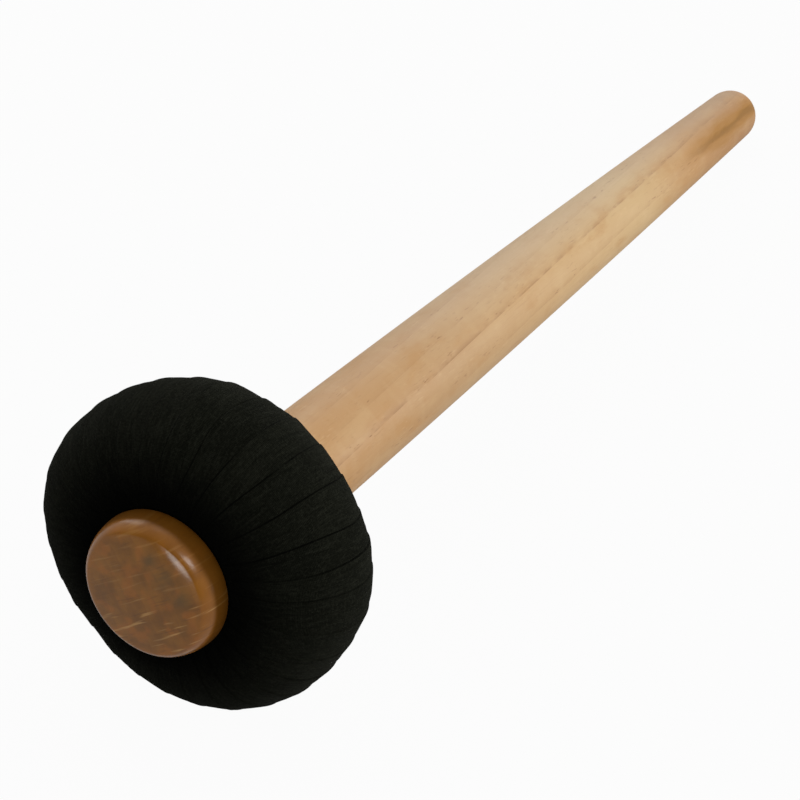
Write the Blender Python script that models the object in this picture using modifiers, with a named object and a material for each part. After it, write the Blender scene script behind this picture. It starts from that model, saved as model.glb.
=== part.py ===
# Gong mallet: a padded ring head wound with black knit tape, on a turned handle, held by a turned knob.
# It lies as on a table, on the head's rim and the handle's tip, with the knob towards -Y.
# Every piece is drawn about one local Z axis that starts in the middle of the head and runs to the tip.

import math

import bmesh
import bpy
import numpy
from mathutils import Vector

MM = 0.001

# Head, measured over the tape
head_radius = 52.0 * MM
head_half_thickness = 22.3 * MM
crown_to_rim = 22.5 * MM
hole_squareness = 2.5

# Clearances
gap = 0.3 * MM
seat_gap = 0.4 * MM

# Tape winding
tape_loops = 24
tape_width = 25.0 * MM
knit_thickness = 0.6 * MM
loop_spacing = 0.5 * MM
edge_rise = 0.3 * MM
end_spacing = 2.0 * MM
steps_per_loop = 24
gap_steps = 5

# Padding and core
batting_thickness = 4.5 * MM
batting_end_turn = math.radians(135.0)
core_radius = 31.0 * MM
core_half_length = 10.0 * MM
core_edge = 1.0 * MM

# Handle
handle_reach = 363.0 * MM
handle_root_radius = 16.9 * MM
handle_tip_radius = 9.4 * MM
handle_swell = 0.8 * MM
tip_length = 9.6 * MM
tip_bluntness = 0.8
root_edge = 1.2 * MM
tenon_radius = 9.5 * MM
tenon_edge = 1.0 * MM

# Knob
knob_radius = 22.4 * MM
knob_stand = 10.3 * MM
knob_dome = 1.2 * MM
knob_edge_reach = 3.0 * MM
knob_edge_length = 8.7 * MM
knob_back_edge = 1.5 * MM
knob_cap = 4.2 * MM
knob_neck_wall = 2.0 * MM

# Rest on the table
flat_depth = 0.5 * MM
steepest_tilt = math.radians(30.0)
cutter_width = 200.0 * MM
cutter_thickness = 50.0 * MM

# Colours and roughness
maple_color = (0.53, 0.33, 0.15)
brown_wood_color = (0.20, 0.085, 0.032)
core_wood_color = (0.42, 0.27, 0.14)
dense_felt_color = (0.33, 0.32, 0.30)
soft_felt_color = (0.45, 0.44, 0.41)
cotton_batting_color = (0.72, 0.69, 0.62)
knit_tape_color = (0.012, 0.013, 0.011)
lacquer_roughness = 0.35
bare_wood_roughness = 0.7
knit_roughness = 0.9
felt_roughness = 1.0

# Fineness of the round shapes
wood_steps = 48
padding_steps = 32
taper_steps = 9
round_steps = 7
corner_steps = 2
seat_steps = 8
felt_steps = 13
batting_steps = 18
weld_distance = 0.01 * MM
crease_angle = math.radians(35.0)

# Fineness of the searches
search_halvings = 40
normal_step = math.radians(0.5)

# Sizes that follow from the ones above
hole_radius = tenon_radius + seat_gap
crown_radius = head_radius - crown_to_rim
loop_angle = math.tau / tape_loops


def remove_old_objects():
    for old in list(bpy.data.objects):
        bpy.data.objects.remove(old)


def new_collection(name):
    collection = bpy.data.collections.new(name)
    bpy.context.scene.collection.children.link(collection)
    return collection


def new_material(name, color, roughness):
    material = bpy.data.materials.new(name)
    material.use_nodes = True
    shader = material.node_tree.nodes["Principled BSDF"]
    shader.inputs["Base Color"].default_value = (*color, 1.0)
    shader.inputs["Roughness"].default_value = roughness
    shader.inputs["Metallic"].default_value = 0.0
    return material


def spread(first, last, steps):
    """Values from first to last, both included, with this many equal steps between them."""
    return [first + (last - first) * step / steps for step in range(steps + 1)]


# The head's section is half an ellipse outside the crown and a squarer half towards the hole.
# A turn of zero is the rim, a quarter turn the rear crown and a half turn the middle of the hole.

def surface_point(turn):
    across = math.cos(turn)
    along = math.sin(turn)
    if across >= 0:
        return Vector((crown_radius + crown_to_rim * across, head_half_thickness * along))
    power = 2 / hole_squareness
    radius = crown_radius - (crown_radius - hole_radius) * abs(across) ** power
    height = math.copysign(head_half_thickness * abs(along) ** power, along)
    return Vector((radius, height))


def surface_normal(turn):
    tangent = surface_point(turn + normal_step) - surface_point(turn - normal_step)
    return Vector((tangent.y, -tangent.x)).normalized()


def section_point(turn, depth):
    """Radius and height of a point at this depth under the head's surface, or above it if negative."""
    return surface_point(turn) - surface_normal(turn) * depth


def tape_depth(turn):
    """The layers of overlapping tape pile up where the loops crowd together towards the hole."""
    layers = tape_loops * tape_width / (math.tau * surface_point(turn).x)
    return knit_thickness * layers


def batting_depth(turn):
    """The batting is full at the rim and feathers out to nothing in the hole."""
    return batting_thickness * (1 + math.cos(turn)) / 2


def under_tape(turn):
    return section_point(turn, tape_depth(turn) + gap)


def under_batting(turn):
    return section_point(turn, tape_depth(turn) + batting_depth(turn) + 2 * gap)


def find_turn(value_at, target, low, high):
    """The turn between low and high where a steadily changing value meets the target."""
    rising = value_at(high) > value_at(low)
    for halving in range(search_halvings):
        middle = (low + high) / 2
        if (value_at(middle) < target) == rising:
            low = middle
        else:
            high = middle
    return (low + high) / 2


# Turned pieces

def turned(name, profile, closed, steps, material):
    """Turn a profile of radius and height pairs, which runs down its outer side, about Z."""
    count = len(profile)
    edges = [(point, point + 1) for point in range(count - 1)]
    if closed:
        edges.append((count - 1, 0))
    mesh = bpy.data.meshes.new(name)
    mesh.from_pydata([(radius, 0.0, height) for radius, height in profile], edges, [])
    mesh.materials.append(material)
    piece = bpy.data.objects.new(name, mesh)
    parts.objects.link(piece)
    piece.parent = mallet_axis
    screw = piece.modifiers.new("Turn", "SCREW")
    screw.steps = steps
    screw.render_steps = steps
    screw.use_merge_vertices = True
    screw.merge_threshold = weld_distance
    screw.use_smooth_shade = True
    return piece


def rounded_corner(centre, radius, first_angle, last_angle):
    corner = []
    for angle in spread(first_angle, last_angle, corner_steps):
        corner.append((centre[0] + radius * math.cos(angle), centre[1] + radius * math.sin(angle)))
    return corner


def seat_profile(first_turn, last_turn):
    """Wood turned to nest in the mouth of the head's hole, one seat gap clear of the tape."""
    return [tuple(section_point(turn, -seat_gap)) for turn in spread(first_turn, last_turn, seat_steps)]


def seat_turn(radius, crown_turn, hole_turn):
    """Where the seat has this radius, between one crown and the middle of the hole."""
    return find_turn(lambda turn: section_point(turn, -seat_gap).x, radius, crown_turn, hole_turn)


def knob_face_height():
    return -(head_half_thickness + knob_stand)


def tenon_end_height():
    return knob_face_height() + knob_cap


def root_turn():
    return seat_turn(handle_root_radius - root_edge, math.pi / 2, math.pi)


def root_height():
    """Where the handle's taper ends, at the rounded edge of its shoulder."""
    return section_point(root_turn(), -seat_gap).y + root_edge


def handle_radius(height):
    """The taper from the shoulder to the tip, fullest above its straight line in the middle."""
    share = (height - root_height()) / (handle_reach - root_height())
    taper = handle_root_radius + (handle_tip_radius - handle_root_radius) * share
    return taper + handle_swell * (1 - (2 * share - 1) ** 2)


def tip_profile():
    """The blunt rounded free end, from the axis outwards."""
    start = handle_reach - tip_length
    profile = [(0.0, handle_reach)]
    for angle in spread(math.pi / 2, 0.0, round_steps)[1:]:
        radius = handle_radius(start) * math.cos(angle) ** tip_bluntness
        profile.append((radius, start + tip_length * math.sin(angle)))
    return profile


def handle_profile():
    profile = tip_profile()
    for height in spread(handle_reach - tip_length, root_height(), taper_steps)[1:]:
        profile.append((handle_radius(height), height))
    edge_centre = (handle_root_radius - root_edge, root_height())
    profile += rounded_corner(edge_centre, root_edge, 0.0, -math.pi / 2)[1:]
    profile += seat_profile(root_turn(), math.pi)[1:]
    end = tenon_end_height()
    profile.append((tenon_radius, end + tenon_edge))
    profile.append((tenon_radius - tenon_edge, end))
    profile.append((0.0, end))
    return profile


def knob_profile():
    face = knob_face_height()
    widest = face + knob_edge_length
    back_turn = seat_turn(knob_radius - knob_back_edge, -math.pi / 2, -math.pi)
    bore_radius = tenon_radius + gap
    neck_turn = seat_turn(bore_radius + knob_neck_wall, -math.pi / 2, -math.pi)
    seat = seat_profile(neck_turn, back_turn)
    bore_end = tenon_end_height() - gap
    profile = [(0.0, bore_end), (bore_radius, bore_end), (bore_radius, seat[0][1])]
    profile += seat
    back_height = seat[-1][1]
    for angle in spread(math.pi / 2, 0.0, round_steps)[1:]:
        reach = knob_back_edge * math.cos(angle)
        rise = (back_height - widest) * math.sin(angle)
        profile.append((knob_radius - knob_back_edge + reach, widest + rise))
    for angle in spread(0.0, math.pi / 2, round_steps)[1:]:
        reach = knob_edge_reach * (1 - math.cos(angle))
        profile.append((knob_radius - reach, widest - knob_edge_length * math.sin(angle)))
    face_radius = knob_radius - knob_edge_reach
    for radius in spread(face_radius, 0.0, round_steps)[1:]:
        profile.append((radius, face - knob_dome * (1 - (radius / face_radius) ** 2)))
    return profile


def core_profile():
    bore_turn = find_turn(lambda turn: under_batting(turn).y, core_half_length, math.pi / 2, math.pi)
    bore_radius = under_batting(bore_turn).x
    inner = bore_radius + core_edge
    outer = core_radius - core_edge
    level = core_half_length - core_edge
    profile = rounded_corner((outer, level), core_edge, math.pi / 2, 0.0)
    profile += rounded_corner((outer, -level), core_edge, 0.0, -math.pi / 2)
    profile += rounded_corner((inner, -level), core_edge, -math.pi / 2, -math.pi)
    profile += rounded_corner((inner, level), core_edge, math.pi, math.pi / 2)
    return profile


def rim_felt_profile():
    edge_turn = find_turn(lambda turn: under_batting(turn).y, core_half_length, 0.0, math.pi / 2)
    profile = [tuple(under_batting(turn)) for turn in spread(edge_turn, -edge_turn, felt_steps)]
    profile.append((core_radius + gap, -core_half_length))
    profile.append((core_radius + gap, core_half_length))
    return profile


def face_felt_profile(side):
    """One domed felt ring: side is 1 behind the core and -1 in front of it."""
    level = core_half_length + gap
    outer_turn = find_turn(lambda turn: under_batting(turn).y, level, 0.0, math.pi / 2)
    inner_turn = find_turn(lambda turn: under_batting(turn).y, level, math.pi / 2, math.pi)
    profile = [tuple(under_batting(turn)) for turn in spread(inner_turn, outer_turn, felt_steps)]
    if side > 0:
        return profile
    return [(radius, -height) for radius, height in reversed(profile)]


def batting_profile():
    turns = spread(batting_end_turn, -batting_end_turn, batting_steps)
    profile = [tuple(under_tape(turn)) for turn in turns]
    for turn in reversed(turns):
        profile.append(tuple(section_point(turn, tape_depth(turn) + gap + batting_depth(turn))))
    return profile


# Tape winding
# Across the tape a ring has six corners: three along its inner face and three back along its outer face.

lower_edge_corners = [2, 3]
raised_edge_corners = [0, 5]


def tape_corner(turn, angle, side, depth):
    """A point across the tape: side is -1 at its raised edge, 0 in the middle and 1 at its lower edge."""
    radius, height = section_point(turn, depth)
    half_angle = (loop_angle - loop_spacing / radius) / 2
    around = angle + side * half_angle
    return Vector((radius * math.cos(around), radius * math.sin(around), height))


def tape_ring(turn, angle):
    """The tape's six corners at this turn: the raised edge stands over the loop before it."""
    half_rise = edge_rise / 2 * surface_point(turn).x / head_radius
    inside = [tape_corner(turn, angle, side, tape_depth(turn)) for side in (-1, 0, 1)]
    outside = [tape_corner(turn, angle, side, half_rise * side) for side in (1, 0, -1)]
    return inside + outside


def tape_rings():
    """The tape starts in the hole, goes round the section once a loop and ends beside its start.

    The start is placed so that the middle of a loop's width lies at the bottom, where the head rests.
    """
    end_turn = end_spacing / (2 * head_half_thickness)
    turns = [math.tau * point / steps_per_loop for point in range(tape_loops * steps_per_loop + 1)]
    turns[0] += end_turn
    turns[-1] -= end_turn
    loops_to_bottom = tape_loops // 2 + 0.5
    start_angle = math.pi / 2 - loops_to_bottom * loop_angle
    return [tape_ring(math.pi + turn, start_angle + loop_angle * turn / math.tau) for turn in turns]


def edge_points(corners):
    """Closely spaced points along two corners of the tape that share an edge."""
    shares = numpy.linspace(0.0, 1.0, gap_steps, endpoint=False)[None, :, None, None]
    between = corners[:-1, None] * (1 - shares) + corners[1:, None] * shares
    return between.reshape(-1, 2, 3)


def least_gap(rings):
    """The least distance from each loop to the next one, and from the tape's start to its end."""
    corners = numpy.array(rings)
    lower_edge = edge_points(corners[:, lower_edge_corners])
    raised_edge = edge_points(corners[:, raised_edge_corners])
    loop = steps_per_loop * gap_steps
    least = numpy.linalg.norm(corners[0][:, None] - corners[-1][None], axis=2).min()
    for shift in range(-gap_steps, gap_steps + 1):
        near = lower_edge[gap_steps:-loop - gap_steps]
        first = gap_steps + loop + shift
        far = raised_edge[first:first + len(near)]
        distance = numpy.linalg.norm(near[:, :, None] - far[:, None], axis=3).min()
        least = min(least, distance)
    return least


def make_tape(material):
    rings = tape_rings()
    print("least gap of the tape to itself, mm:", round(least_gap(rings) / MM, 3))
    shape = bmesh.new()
    loops = [[shape.verts.new(corner) for corner in ring] for ring in rings]
    sides = len(rings[0])
    for before, after in zip(loops[:-1], loops[1:]):
        for side in range(sides):
            following = (side + 1) % sides
            shape.faces.new((before[side], before[following], after[following], after[side]))
    shape.faces.new(list(reversed(loops[0])))
    shape.faces.new(loops[-1])
    bmesh.ops.recalc_face_normals(shape, faces=shape.faces)
    mesh = bpy.data.meshes.new("tape_winding")
    shape.to_mesh(mesh)
    shape.free()
    mesh.materials.append(material)
    mesh.shade_smooth()
    mesh.set_sharp_from_angle(angle=crease_angle)
    piece = bpy.data.objects.new("tape_winding", mesh)
    parts.objects.link(piece)
    piece.parent = mallet_axis
    return piece


# Lying on the table

def head_reach(tilt):
    """How far the head reaches below its middle when the axis is tilted."""
    rim_reach = math.hypot(crown_to_rim * math.cos(tilt), head_half_thickness * math.sin(tilt))
    return crown_radius * math.cos(tilt) + rim_reach


def tip_reach(tilt):
    """How far the handle's tip reaches below the head's middle."""
    return max(radius * math.cos(tilt) + height * math.sin(tilt) for radius, height in tip_profile())


def lying_tilt():
    """The tilt at which the pressed-in head and the tip touch the table together."""
    return find_turn(lambda tilt: tip_reach(tilt) - head_reach(tilt), -flat_depth, 0.0, steepest_tilt)


def lay_down(tilt):
    mallet_axis.rotation_euler = (-math.pi / 2 - tilt, 0.0, 0.0)
    mallet_axis.location = (0.0, 0.0, head_reach(tilt) - flat_depth)


def centre_over_origin():
    """Move the mallet so that the middle of its outline stands over the origin."""
    bpy.context.view_layer.update()
    depsgraph = bpy.context.evaluated_depsgraph_get()
    corners = []
    for piece in parts.objects:
        if piece.type == "MESH":
            solid = piece.evaluated_get(depsgraph)
            corners += [piece.matrix_world @ vertex.co for vertex in solid.data.vertices]
    places = numpy.array(corners)
    middle = (places.min(axis=0) + places.max(axis=0)) / 2
    mallet_axis.location.x -= middle[0]
    mallet_axis.location.y -= middle[1]


def press_flat(piece):
    """The head's own weight presses one small flat into the soft rim."""
    bpy.ops.mesh.primitive_cube_add(size=1.0)
    table = bpy.context.object
    table.name = "table_cutter"
    table.scale = (cutter_width, cutter_width, cutter_thickness)
    table.location = (mallet_axis.location.x, mallet_axis.location.y, -cutter_thickness / 2)
    table.hide_render = True
    table.display_type = "WIRE"
    for holder in list(table.users_collection):
        holder.objects.unlink(table)
    cutters.objects.link(table)
    cut = piece.modifiers.new("Rest flat", "BOOLEAN")
    cut.operation = "DIFFERENCE"
    cut.solver = "EXACT"
    cut.object = table


remove_old_objects()
parts = new_collection("Gong mallet")
cutters = new_collection("Cutters")

mallet_axis = bpy.data.objects.new("mallet_axis", None)
parts.objects.link(mallet_axis)

maple = new_material("maple", maple_color, lacquer_roughness)
brown_wood = new_material("brown_wood", brown_wood_color, lacquer_roughness)
core_wood = new_material("core_wood", core_wood_color, bare_wood_roughness)
dense_felt = new_material("dense_felt", dense_felt_color, felt_roughness)
soft_felt = new_material("soft_felt", soft_felt_color, felt_roughness)
cotton_batting = new_material("cotton_batting", cotton_batting_color, felt_roughness)
knit_tape = new_material("knit_tape", knit_tape_color, knit_roughness)

turned("handle", handle_profile(), False, wood_steps, maple)
turned("end_knob", knob_profile(), False, wood_steps, brown_wood)
turned("core_ring", core_profile(), True, padding_steps, core_wood)
turned("rim_felt", rim_felt_profile(), True, padding_steps, dense_felt)
turned("front_felt", face_felt_profile(-1), True, padding_steps, soft_felt)
turned("rear_felt", face_felt_profile(1), True, padding_steps, soft_felt)
turned("batting", batting_profile(), True, padding_steps, cotton_batting)
tape_winding = make_tape(knit_tape)

lay_down(lying_tilt())
centre_over_origin()
press_flat(tape_winding)
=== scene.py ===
import math
import random

import bpy
import numpy
from mathutils import Matrix, Vector, noise


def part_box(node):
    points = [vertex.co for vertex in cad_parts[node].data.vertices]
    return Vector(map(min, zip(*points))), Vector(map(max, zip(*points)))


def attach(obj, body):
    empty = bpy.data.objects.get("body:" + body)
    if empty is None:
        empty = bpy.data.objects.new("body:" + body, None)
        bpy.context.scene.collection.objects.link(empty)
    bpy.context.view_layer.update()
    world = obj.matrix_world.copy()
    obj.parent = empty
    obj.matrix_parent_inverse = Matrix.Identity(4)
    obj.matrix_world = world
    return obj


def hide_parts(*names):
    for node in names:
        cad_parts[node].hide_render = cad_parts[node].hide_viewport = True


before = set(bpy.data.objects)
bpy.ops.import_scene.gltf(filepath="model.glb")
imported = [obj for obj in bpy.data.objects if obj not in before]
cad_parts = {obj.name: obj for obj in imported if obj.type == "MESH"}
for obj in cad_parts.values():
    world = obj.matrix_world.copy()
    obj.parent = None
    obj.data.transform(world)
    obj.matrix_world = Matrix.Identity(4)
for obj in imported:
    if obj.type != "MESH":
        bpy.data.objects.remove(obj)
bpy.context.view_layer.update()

# How the mallet lies. Every piece is turned or wound about one line, the mallet's axis, which runs
# from the middle of the head to the handle's tip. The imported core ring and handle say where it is.
# In a piece's own coordinates Z runs along that line, X is level and Y points down.

MM = 0.001

core_low, core_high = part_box("core_ring")
head_middle = (core_low + core_high) / 2
handle_places = [vertex.co.copy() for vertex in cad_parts["handle"].data.vertices]
tip_end = max(handle_places, key=lambda place: (place - head_middle).length)
axis_line = (tip_end - head_middle).normalized()
level_line = Vector((1.0, 0.0, 0.0))
down_line = axis_line.cross(level_line)
mallet_turn = Matrix((level_line, down_line, axis_line)).transposed().to_4x4()
mallet_place = Matrix.Translation(head_middle) @ mallet_turn


# Handle. One length of pale hardwood, turned to a taper, with a blunt rounded tip and a satin
# lacquer. Its shoulder is cut to nest in the mouth of the padded head, and a thinner tenon
# goes on through the head to hold the knob.

head_radius = 52.0 * MM
head_half_thickness = 22.3 * MM
crown_to_rim = 22.5 * MM
hole_squareness = 2.5
seat_gap = 0.4 * MM
tenon_radius = 9.5 * MM
tenon_edge = 1.0 * MM
crown_radius = head_radius - crown_to_rim
hole_radius = tenon_radius + seat_gap

handle_reach = 363.0 * MM
handle_root_radius = 16.9 * MM
handle_tip_radius = 9.4 * MM
handle_swell = 0.8 * MM
tip_length = 9.6 * MM
tip_bluntness = 0.8
root_edge = 1.2 * MM

knob_stand = 10.3 * MM
knob_cap = 4.2 * MM
knob_face_height = -(head_half_thickness + knob_stand)
tenon_end_height = knob_face_height + knob_cap

on_axis = 0.001 * MM
crease_angle = math.radians(40.0)
section_step = math.radians(0.5)

wood_steps = 128
taper_steps = 60
round_steps = 24
corner_steps = 8
seat_steps = 24
search_steps = 2000


def head_section(turn):
    """Radius and height of the head's surface: no turn is the rim, a quarter turn the rear crown."""
    outward = numpy.cos(turn)
    rearward = numpy.sin(turn)
    power = numpy.where(outward >= 0, 1.0, 2 / hole_squareness)
    reach = numpy.where(outward >= 0, crown_to_rim, crown_radius - hole_radius)
    radius = crown_radius + numpy.sign(outward) * reach * numpy.abs(outward) ** power
    height = numpy.sign(rearward) * head_half_thickness * numpy.abs(rearward) ** power
    return radius, height


def under_head(turn, depth):
    """Radius and height at this depth under the head's surface, or above it if the depth is negative."""
    before = head_section(turn - section_step)
    after = head_section(turn + section_step)
    outward = after[0] - before[0]
    rearward = after[1] - before[1]
    length = numpy.hypot(outward, rearward)
    radius, height = head_section(turn)
    return radius - rearward / length * depth, height + outward / length * depth


def turn_at(value_at, target, first_turn, last_turn):
    """The turn between these two where a steadily changing value meets the target."""
    turns = numpy.linspace(first_turn, last_turn, search_steps)
    values = value_at(turns)
    if values[0] > values[-1]:
        turns, values = turns[::-1], values[::-1]
    return float(numpy.interp(target, values, turns))


def seat_profile(first_turn, last_turn):
    """Wood that nests in the mouth of the head's hole, one seat gap clear of the tape."""
    radius, height = under_head(numpy.linspace(first_turn, last_turn, seat_steps + 1), -seat_gap)
    return list(zip(radius, height))


def round_profile(centre, across, along, first_angle, last_angle, steps):
    """An arc of an ellipse about a centre."""
    angles = numpy.linspace(first_angle, last_angle, steps + 1)
    return [(centre[0] + across * math.cos(a), centre[1] + along * math.sin(a)) for a in angles]


def turned_mesh(name, profile, steps, closed=False):
    """Turn a profile of radii and heights, which runs down its outer side, about the mallet's axis."""
    rings = []
    places = []
    for radius, height in profile:
        if radius < on_axis:
            rings.append([len(places)] * steps)
            places.append((0.0, 0.0, height))
            continue
        rings.append(list(range(len(places), len(places) + steps)))
        for step in range(steps):
            angle = math.tau * step / steps
            places.append((radius * math.cos(angle), radius * math.sin(angle), height))
    pairs = list(zip(rings[:-1], rings[1:]))
    if closed:
        pairs.append((rings[-1], rings[0]))
    faces = []
    for upper, lower in pairs:
        for step in range(steps):
            following = (step + 1) % steps
            corners = (upper[step], lower[step], lower[following], upper[following])
            faces.append(tuple(dict.fromkeys(corners)))
    mesh = bpy.data.meshes.new(name)
    mesh.from_pydata(places, [], faces)
    mesh.shade_smooth()
    mesh.set_sharp_from_angle(angle=crease_angle)
    return mesh


def fit_to_mallet(name, mesh, finish, node):
    """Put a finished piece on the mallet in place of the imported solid, with each point's own place."""
    own = mesh.attributes.new("own_place", "FLOAT_VECTOR", "POINT")
    own.data.foreach_set("vector", [value for vertex in mesh.vertices for value in vertex.co])
    mesh.transform(mallet_place)
    mesh.materials.append(finish)
    piece = bpy.data.objects.new(name, mesh)
    bpy.context.scene.collection.objects.link(piece)
    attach(piece, "root")
    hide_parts(node)
    return piece


def handle_radius(height, root_height):
    """The taper from the shoulder to the tip, fullest above its straight line in the middle."""
    share = (height - root_height) / (handle_reach - root_height)
    taper = handle_root_radius + (handle_tip_radius - handle_root_radius) * share
    return taper + handle_swell * (1 - (2 * share - 1) ** 2)


def handle_profile():
    seat_radius = handle_root_radius - root_edge
    root_turn = turn_at(lambda turn: under_head(turn, -seat_gap)[0], seat_radius, math.pi / 2, math.pi)
    root_height = under_head(root_turn, -seat_gap)[1] + root_edge
    tip_start = handle_reach - tip_length
    tip_radius = handle_radius(tip_start, root_height)
    profile = [(0.0, handle_reach)]
    for angle in numpy.linspace(math.pi / 2, 0.0, round_steps + 1)[1:]:
        radius = tip_radius * math.cos(angle) ** tip_bluntness
        profile.append((radius, tip_start + tip_length * math.sin(angle)))
    for height in numpy.linspace(tip_start, root_height, taper_steps + 1)[1:]:
        profile.append((handle_radius(height, root_height), height))
    root_centre = (seat_radius, root_height)
    profile += round_profile(root_centre, root_edge, root_edge, 0.0, -math.pi / 2, corner_steps)[1:]
    profile += seat_profile(root_turn, math.pi)[1:]
    profile.append((tenon_radius, tenon_end_height + tenon_edge))
    profile.append((tenon_radius - tenon_edge, tenon_end_height))
    profile.append((0.0, tenon_end_height))
    return profile


class Finish:
    """A surface finish, built up from texture nodes that feed one shader."""

    def __init__(self, name, **even_values):
        self.material = bpy.data.materials.new(name)
        self.material.use_nodes = True
        self.tree = self.material.node_tree
        self.shader = self.tree.nodes["Principled BSDF"]
        for socket, value in even_values.items():
            self.shader.inputs[socket.replace("_", " ")].default_value = value

    def node(self, kind, sockets=(), **settings):
        node = self.tree.nodes.new("ShaderNode" + kind)
        for setting, value in settings.items():
            setattr(node, setting, value)
        for socket, value in dict(sockets).items():
            self.feed(node.inputs[socket], value)
        return node

    def feed(self, socket, value):
        if isinstance(value, bpy.types.NodeSocket):
            self.tree.links.new(value, socket)
        else:
            socket.default_value = value

    def sum(self, operation, *values):
        return self.node("Math", enumerate(values), operation=operation).outputs[0]

    def own_place(self):
        """The place on the piece, measured along and across the mallet's axis in millimetres."""
        own = self.node("Attribute", attribute_name="own_place").outputs["Vector"]
        return self.node("VectorMath", {0: own, "Scale": 1 / MM}, operation="SCALE").outputs[0]

    def noise(self, place, grain, seed=0.0, detail=3.0, roughness=0.5):
        """Smooth noise from 0 to 1 whose marks are about this many millimetres along each direction."""
        scaled = self.node("VectorMath", {0: place, 1: grain}, operation="DIVIDE").outputs[0]
        sockets = {"Vector": scaled, "W": seed, "Scale": 1.0, "Detail": detail, "Roughness": roughness}
        return self.node("TexNoise", sockets, noise_dimensions="4D").outputs[0]

    def between(self, value, low, high):
        """A smooth step: 0 below low and 1 above high, or the other way round where low is higher."""
        sockets = {"Value": value, "From Min": low, "From Max": high}
        return self.node("MapRange", sockets, interpolation_type="SMOOTHSTEP").outputs[0]

    def patch(self, pattern, low, high, share):
        """How far a mark covers: nothing where its pattern is low, and this share where it is high."""
        return self.sum("MULTIPLY", self.between(pattern, low, high), share)

    def tones(self, value, stops):
        """Colours along a value, given as pairs of a place from 0 to 1 and a colour."""
        ramp = self.node("ValToRGB", {0: value})
        elements = ramp.color_ramp.elements
        while len(elements) < len(stops):
            elements.new(0.5)
        for element, (place, color) in zip(elements, stops):
            element.position = place
            element.color = (*color, 1.0)
        return ramp.outputs[0]

    def stain(self, share, color, stained):
        """A colour changed towards another one by a share."""
        first = color if isinstance(color, bpy.types.NodeSocket) else (*color, 1.0)
        mix = self.node("Mix", {0: share}, data_type="RGBA")
        color_inputs = [socket for socket in mix.inputs if socket.type == "RGBA"]
        self.feed(color_inputs[0], first)
        self.feed(color_inputs[1], (*stained, 1.0))
        return next(socket for socket in mix.outputs if socket.type == "RGBA")

    def relief(self, height, depth, under=None):
        """Small relief from a height of 0 to 1, this many metres deep."""
        bump = self.node("Bump", {"Height": height, "Strength": 1.0, "Distance": depth})
        if under:
            self.feed(bump.inputs["Normal"], under)
        return bump.outputs[0]


def direction(degrees):
    """A direction square to the mallet's axis: 0 is level to the right and 90 is down."""
    return (math.cos(math.radians(degrees)), math.sin(math.radians(degrees)), 0.0)


def distance_along(finish, place, line):
    return finish.node("VectorMath", {0: place, 1: line}, operation="DOT_PRODUCT").outputs["Value"]


def square_to_axis(finish, place):
    """The place without its distance along the mallet's axis."""
    return finish.node("VectorMath", {0: place, 1: (1.0, 1.0, 0.0)}, operation="MULTIPLY").outputs[0]


def distance_between(finish, place, other=(0.0, 0.0, 0.0)):
    return finish.node("VectorMath", {0: place, 1: other}, operation="DISTANCE").outputs["Value"]


def wood_frame(finish, place, ring_direction, lean):
    """The place measured across the rings, along the rings and along the trunk, whose line leans a little."""
    across = distance_along(finish, place, direction(ring_direction))
    around = distance_along(finish, place, direction(ring_direction + 90.0))
    along = finish.node("SeparateXYZ", {0: place}).outputs["Z"]
    leaning = finish.sum("MULTIPLY_ADD", along, lean, across)
    return leaning, around, along


# In a finish, places and grains are in millimetres and directions in degrees round the axis.
handle_ring_direction = 39.0
handle_lean = 0.039
handle_pith = 120.0
handle_ring_width = 7.4
handle_ring_start = 3.4
handle_waver = 2.0
handle_waver_grain = (30.0, 30.0, 110.0)
line_break_grain = (3.5, 3.5, 10.0)
cloud_grain = (8.0, 8.0, 20.0)
curl_grain = (14.0, 14.0, 5.0)
fibre_grain = (0.45, 0.45, 22.0)
dash_grain = (0.60, 0.60, 3.6)
pale_dash_grain = (0.70, 0.70, 4.0)
pale_patch_grain = (9.0, 9.0, 16.0)
pore_depth = 0.05 * MM
late_wood_narrowness = 7.0
soft_ring_share = 0.14
main_line_share = 0.44
line_share = 0.14
line_fleck_share = 0.30
fleck_share = 0.55
streak_share = 0.90
streak_core_share = 0.50
handle_roughness = 0.42
fibre_roughness = 0.16
dash_depth_share = 0.5

# Tones from the shoulder, 0, to the tip, 1.
handle_tones = [
    (0.00, (0.480, 0.268, 0.112)),
    (0.25, (0.490, 0.305, 0.150)),
    (0.50, (0.540, 0.345, 0.168)),
    (0.80, (0.560, 0.385, 0.195)),
    (0.93, (0.460, 0.258, 0.108)),
    (1.00, (0.375, 0.196, 0.080)),
]
ring_tone = (0.40, 0.21, 0.08)
ring_line = (0.25, 0.11, 0.04)
brown_cloud = (0.45, 0.235, 0.080)
pale_cloud = (0.61, 0.43, 0.23)
pale_curl = (0.63, 0.45, 0.25)
brown_fibre = (0.36, 0.19, 0.075)
brown_fleck = (0.25, 0.110, 0.040)
pale_fleck = (0.72, 0.52, 0.30)

# A painted reflection along the handle's upper side, paler and greyer, and the dark streak near its tip.
reflection_side_direction = -118.0
reflection_side_reach = (3.0, 10.0)
reflection_side_length = (90.0, 180.0)
painted_reflection_tone = (0.52, 0.42, 0.30)
streak_direction = -36.0
streak_middle = 3.0
streak_raggedness = 6.0
streak_grain = (3.0, 3.0, 16.0)
streak_reach = (5.4, 1.0)
streak_length = (286.0, 328.0)
streak_side = (1.0, 5.0)
streak_core_reach = (1.9, 0.3)
streak_tone = (0.345, 0.165, 0.034)
streak_core_tone = (0.19, 0.088, 0.014)


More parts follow.
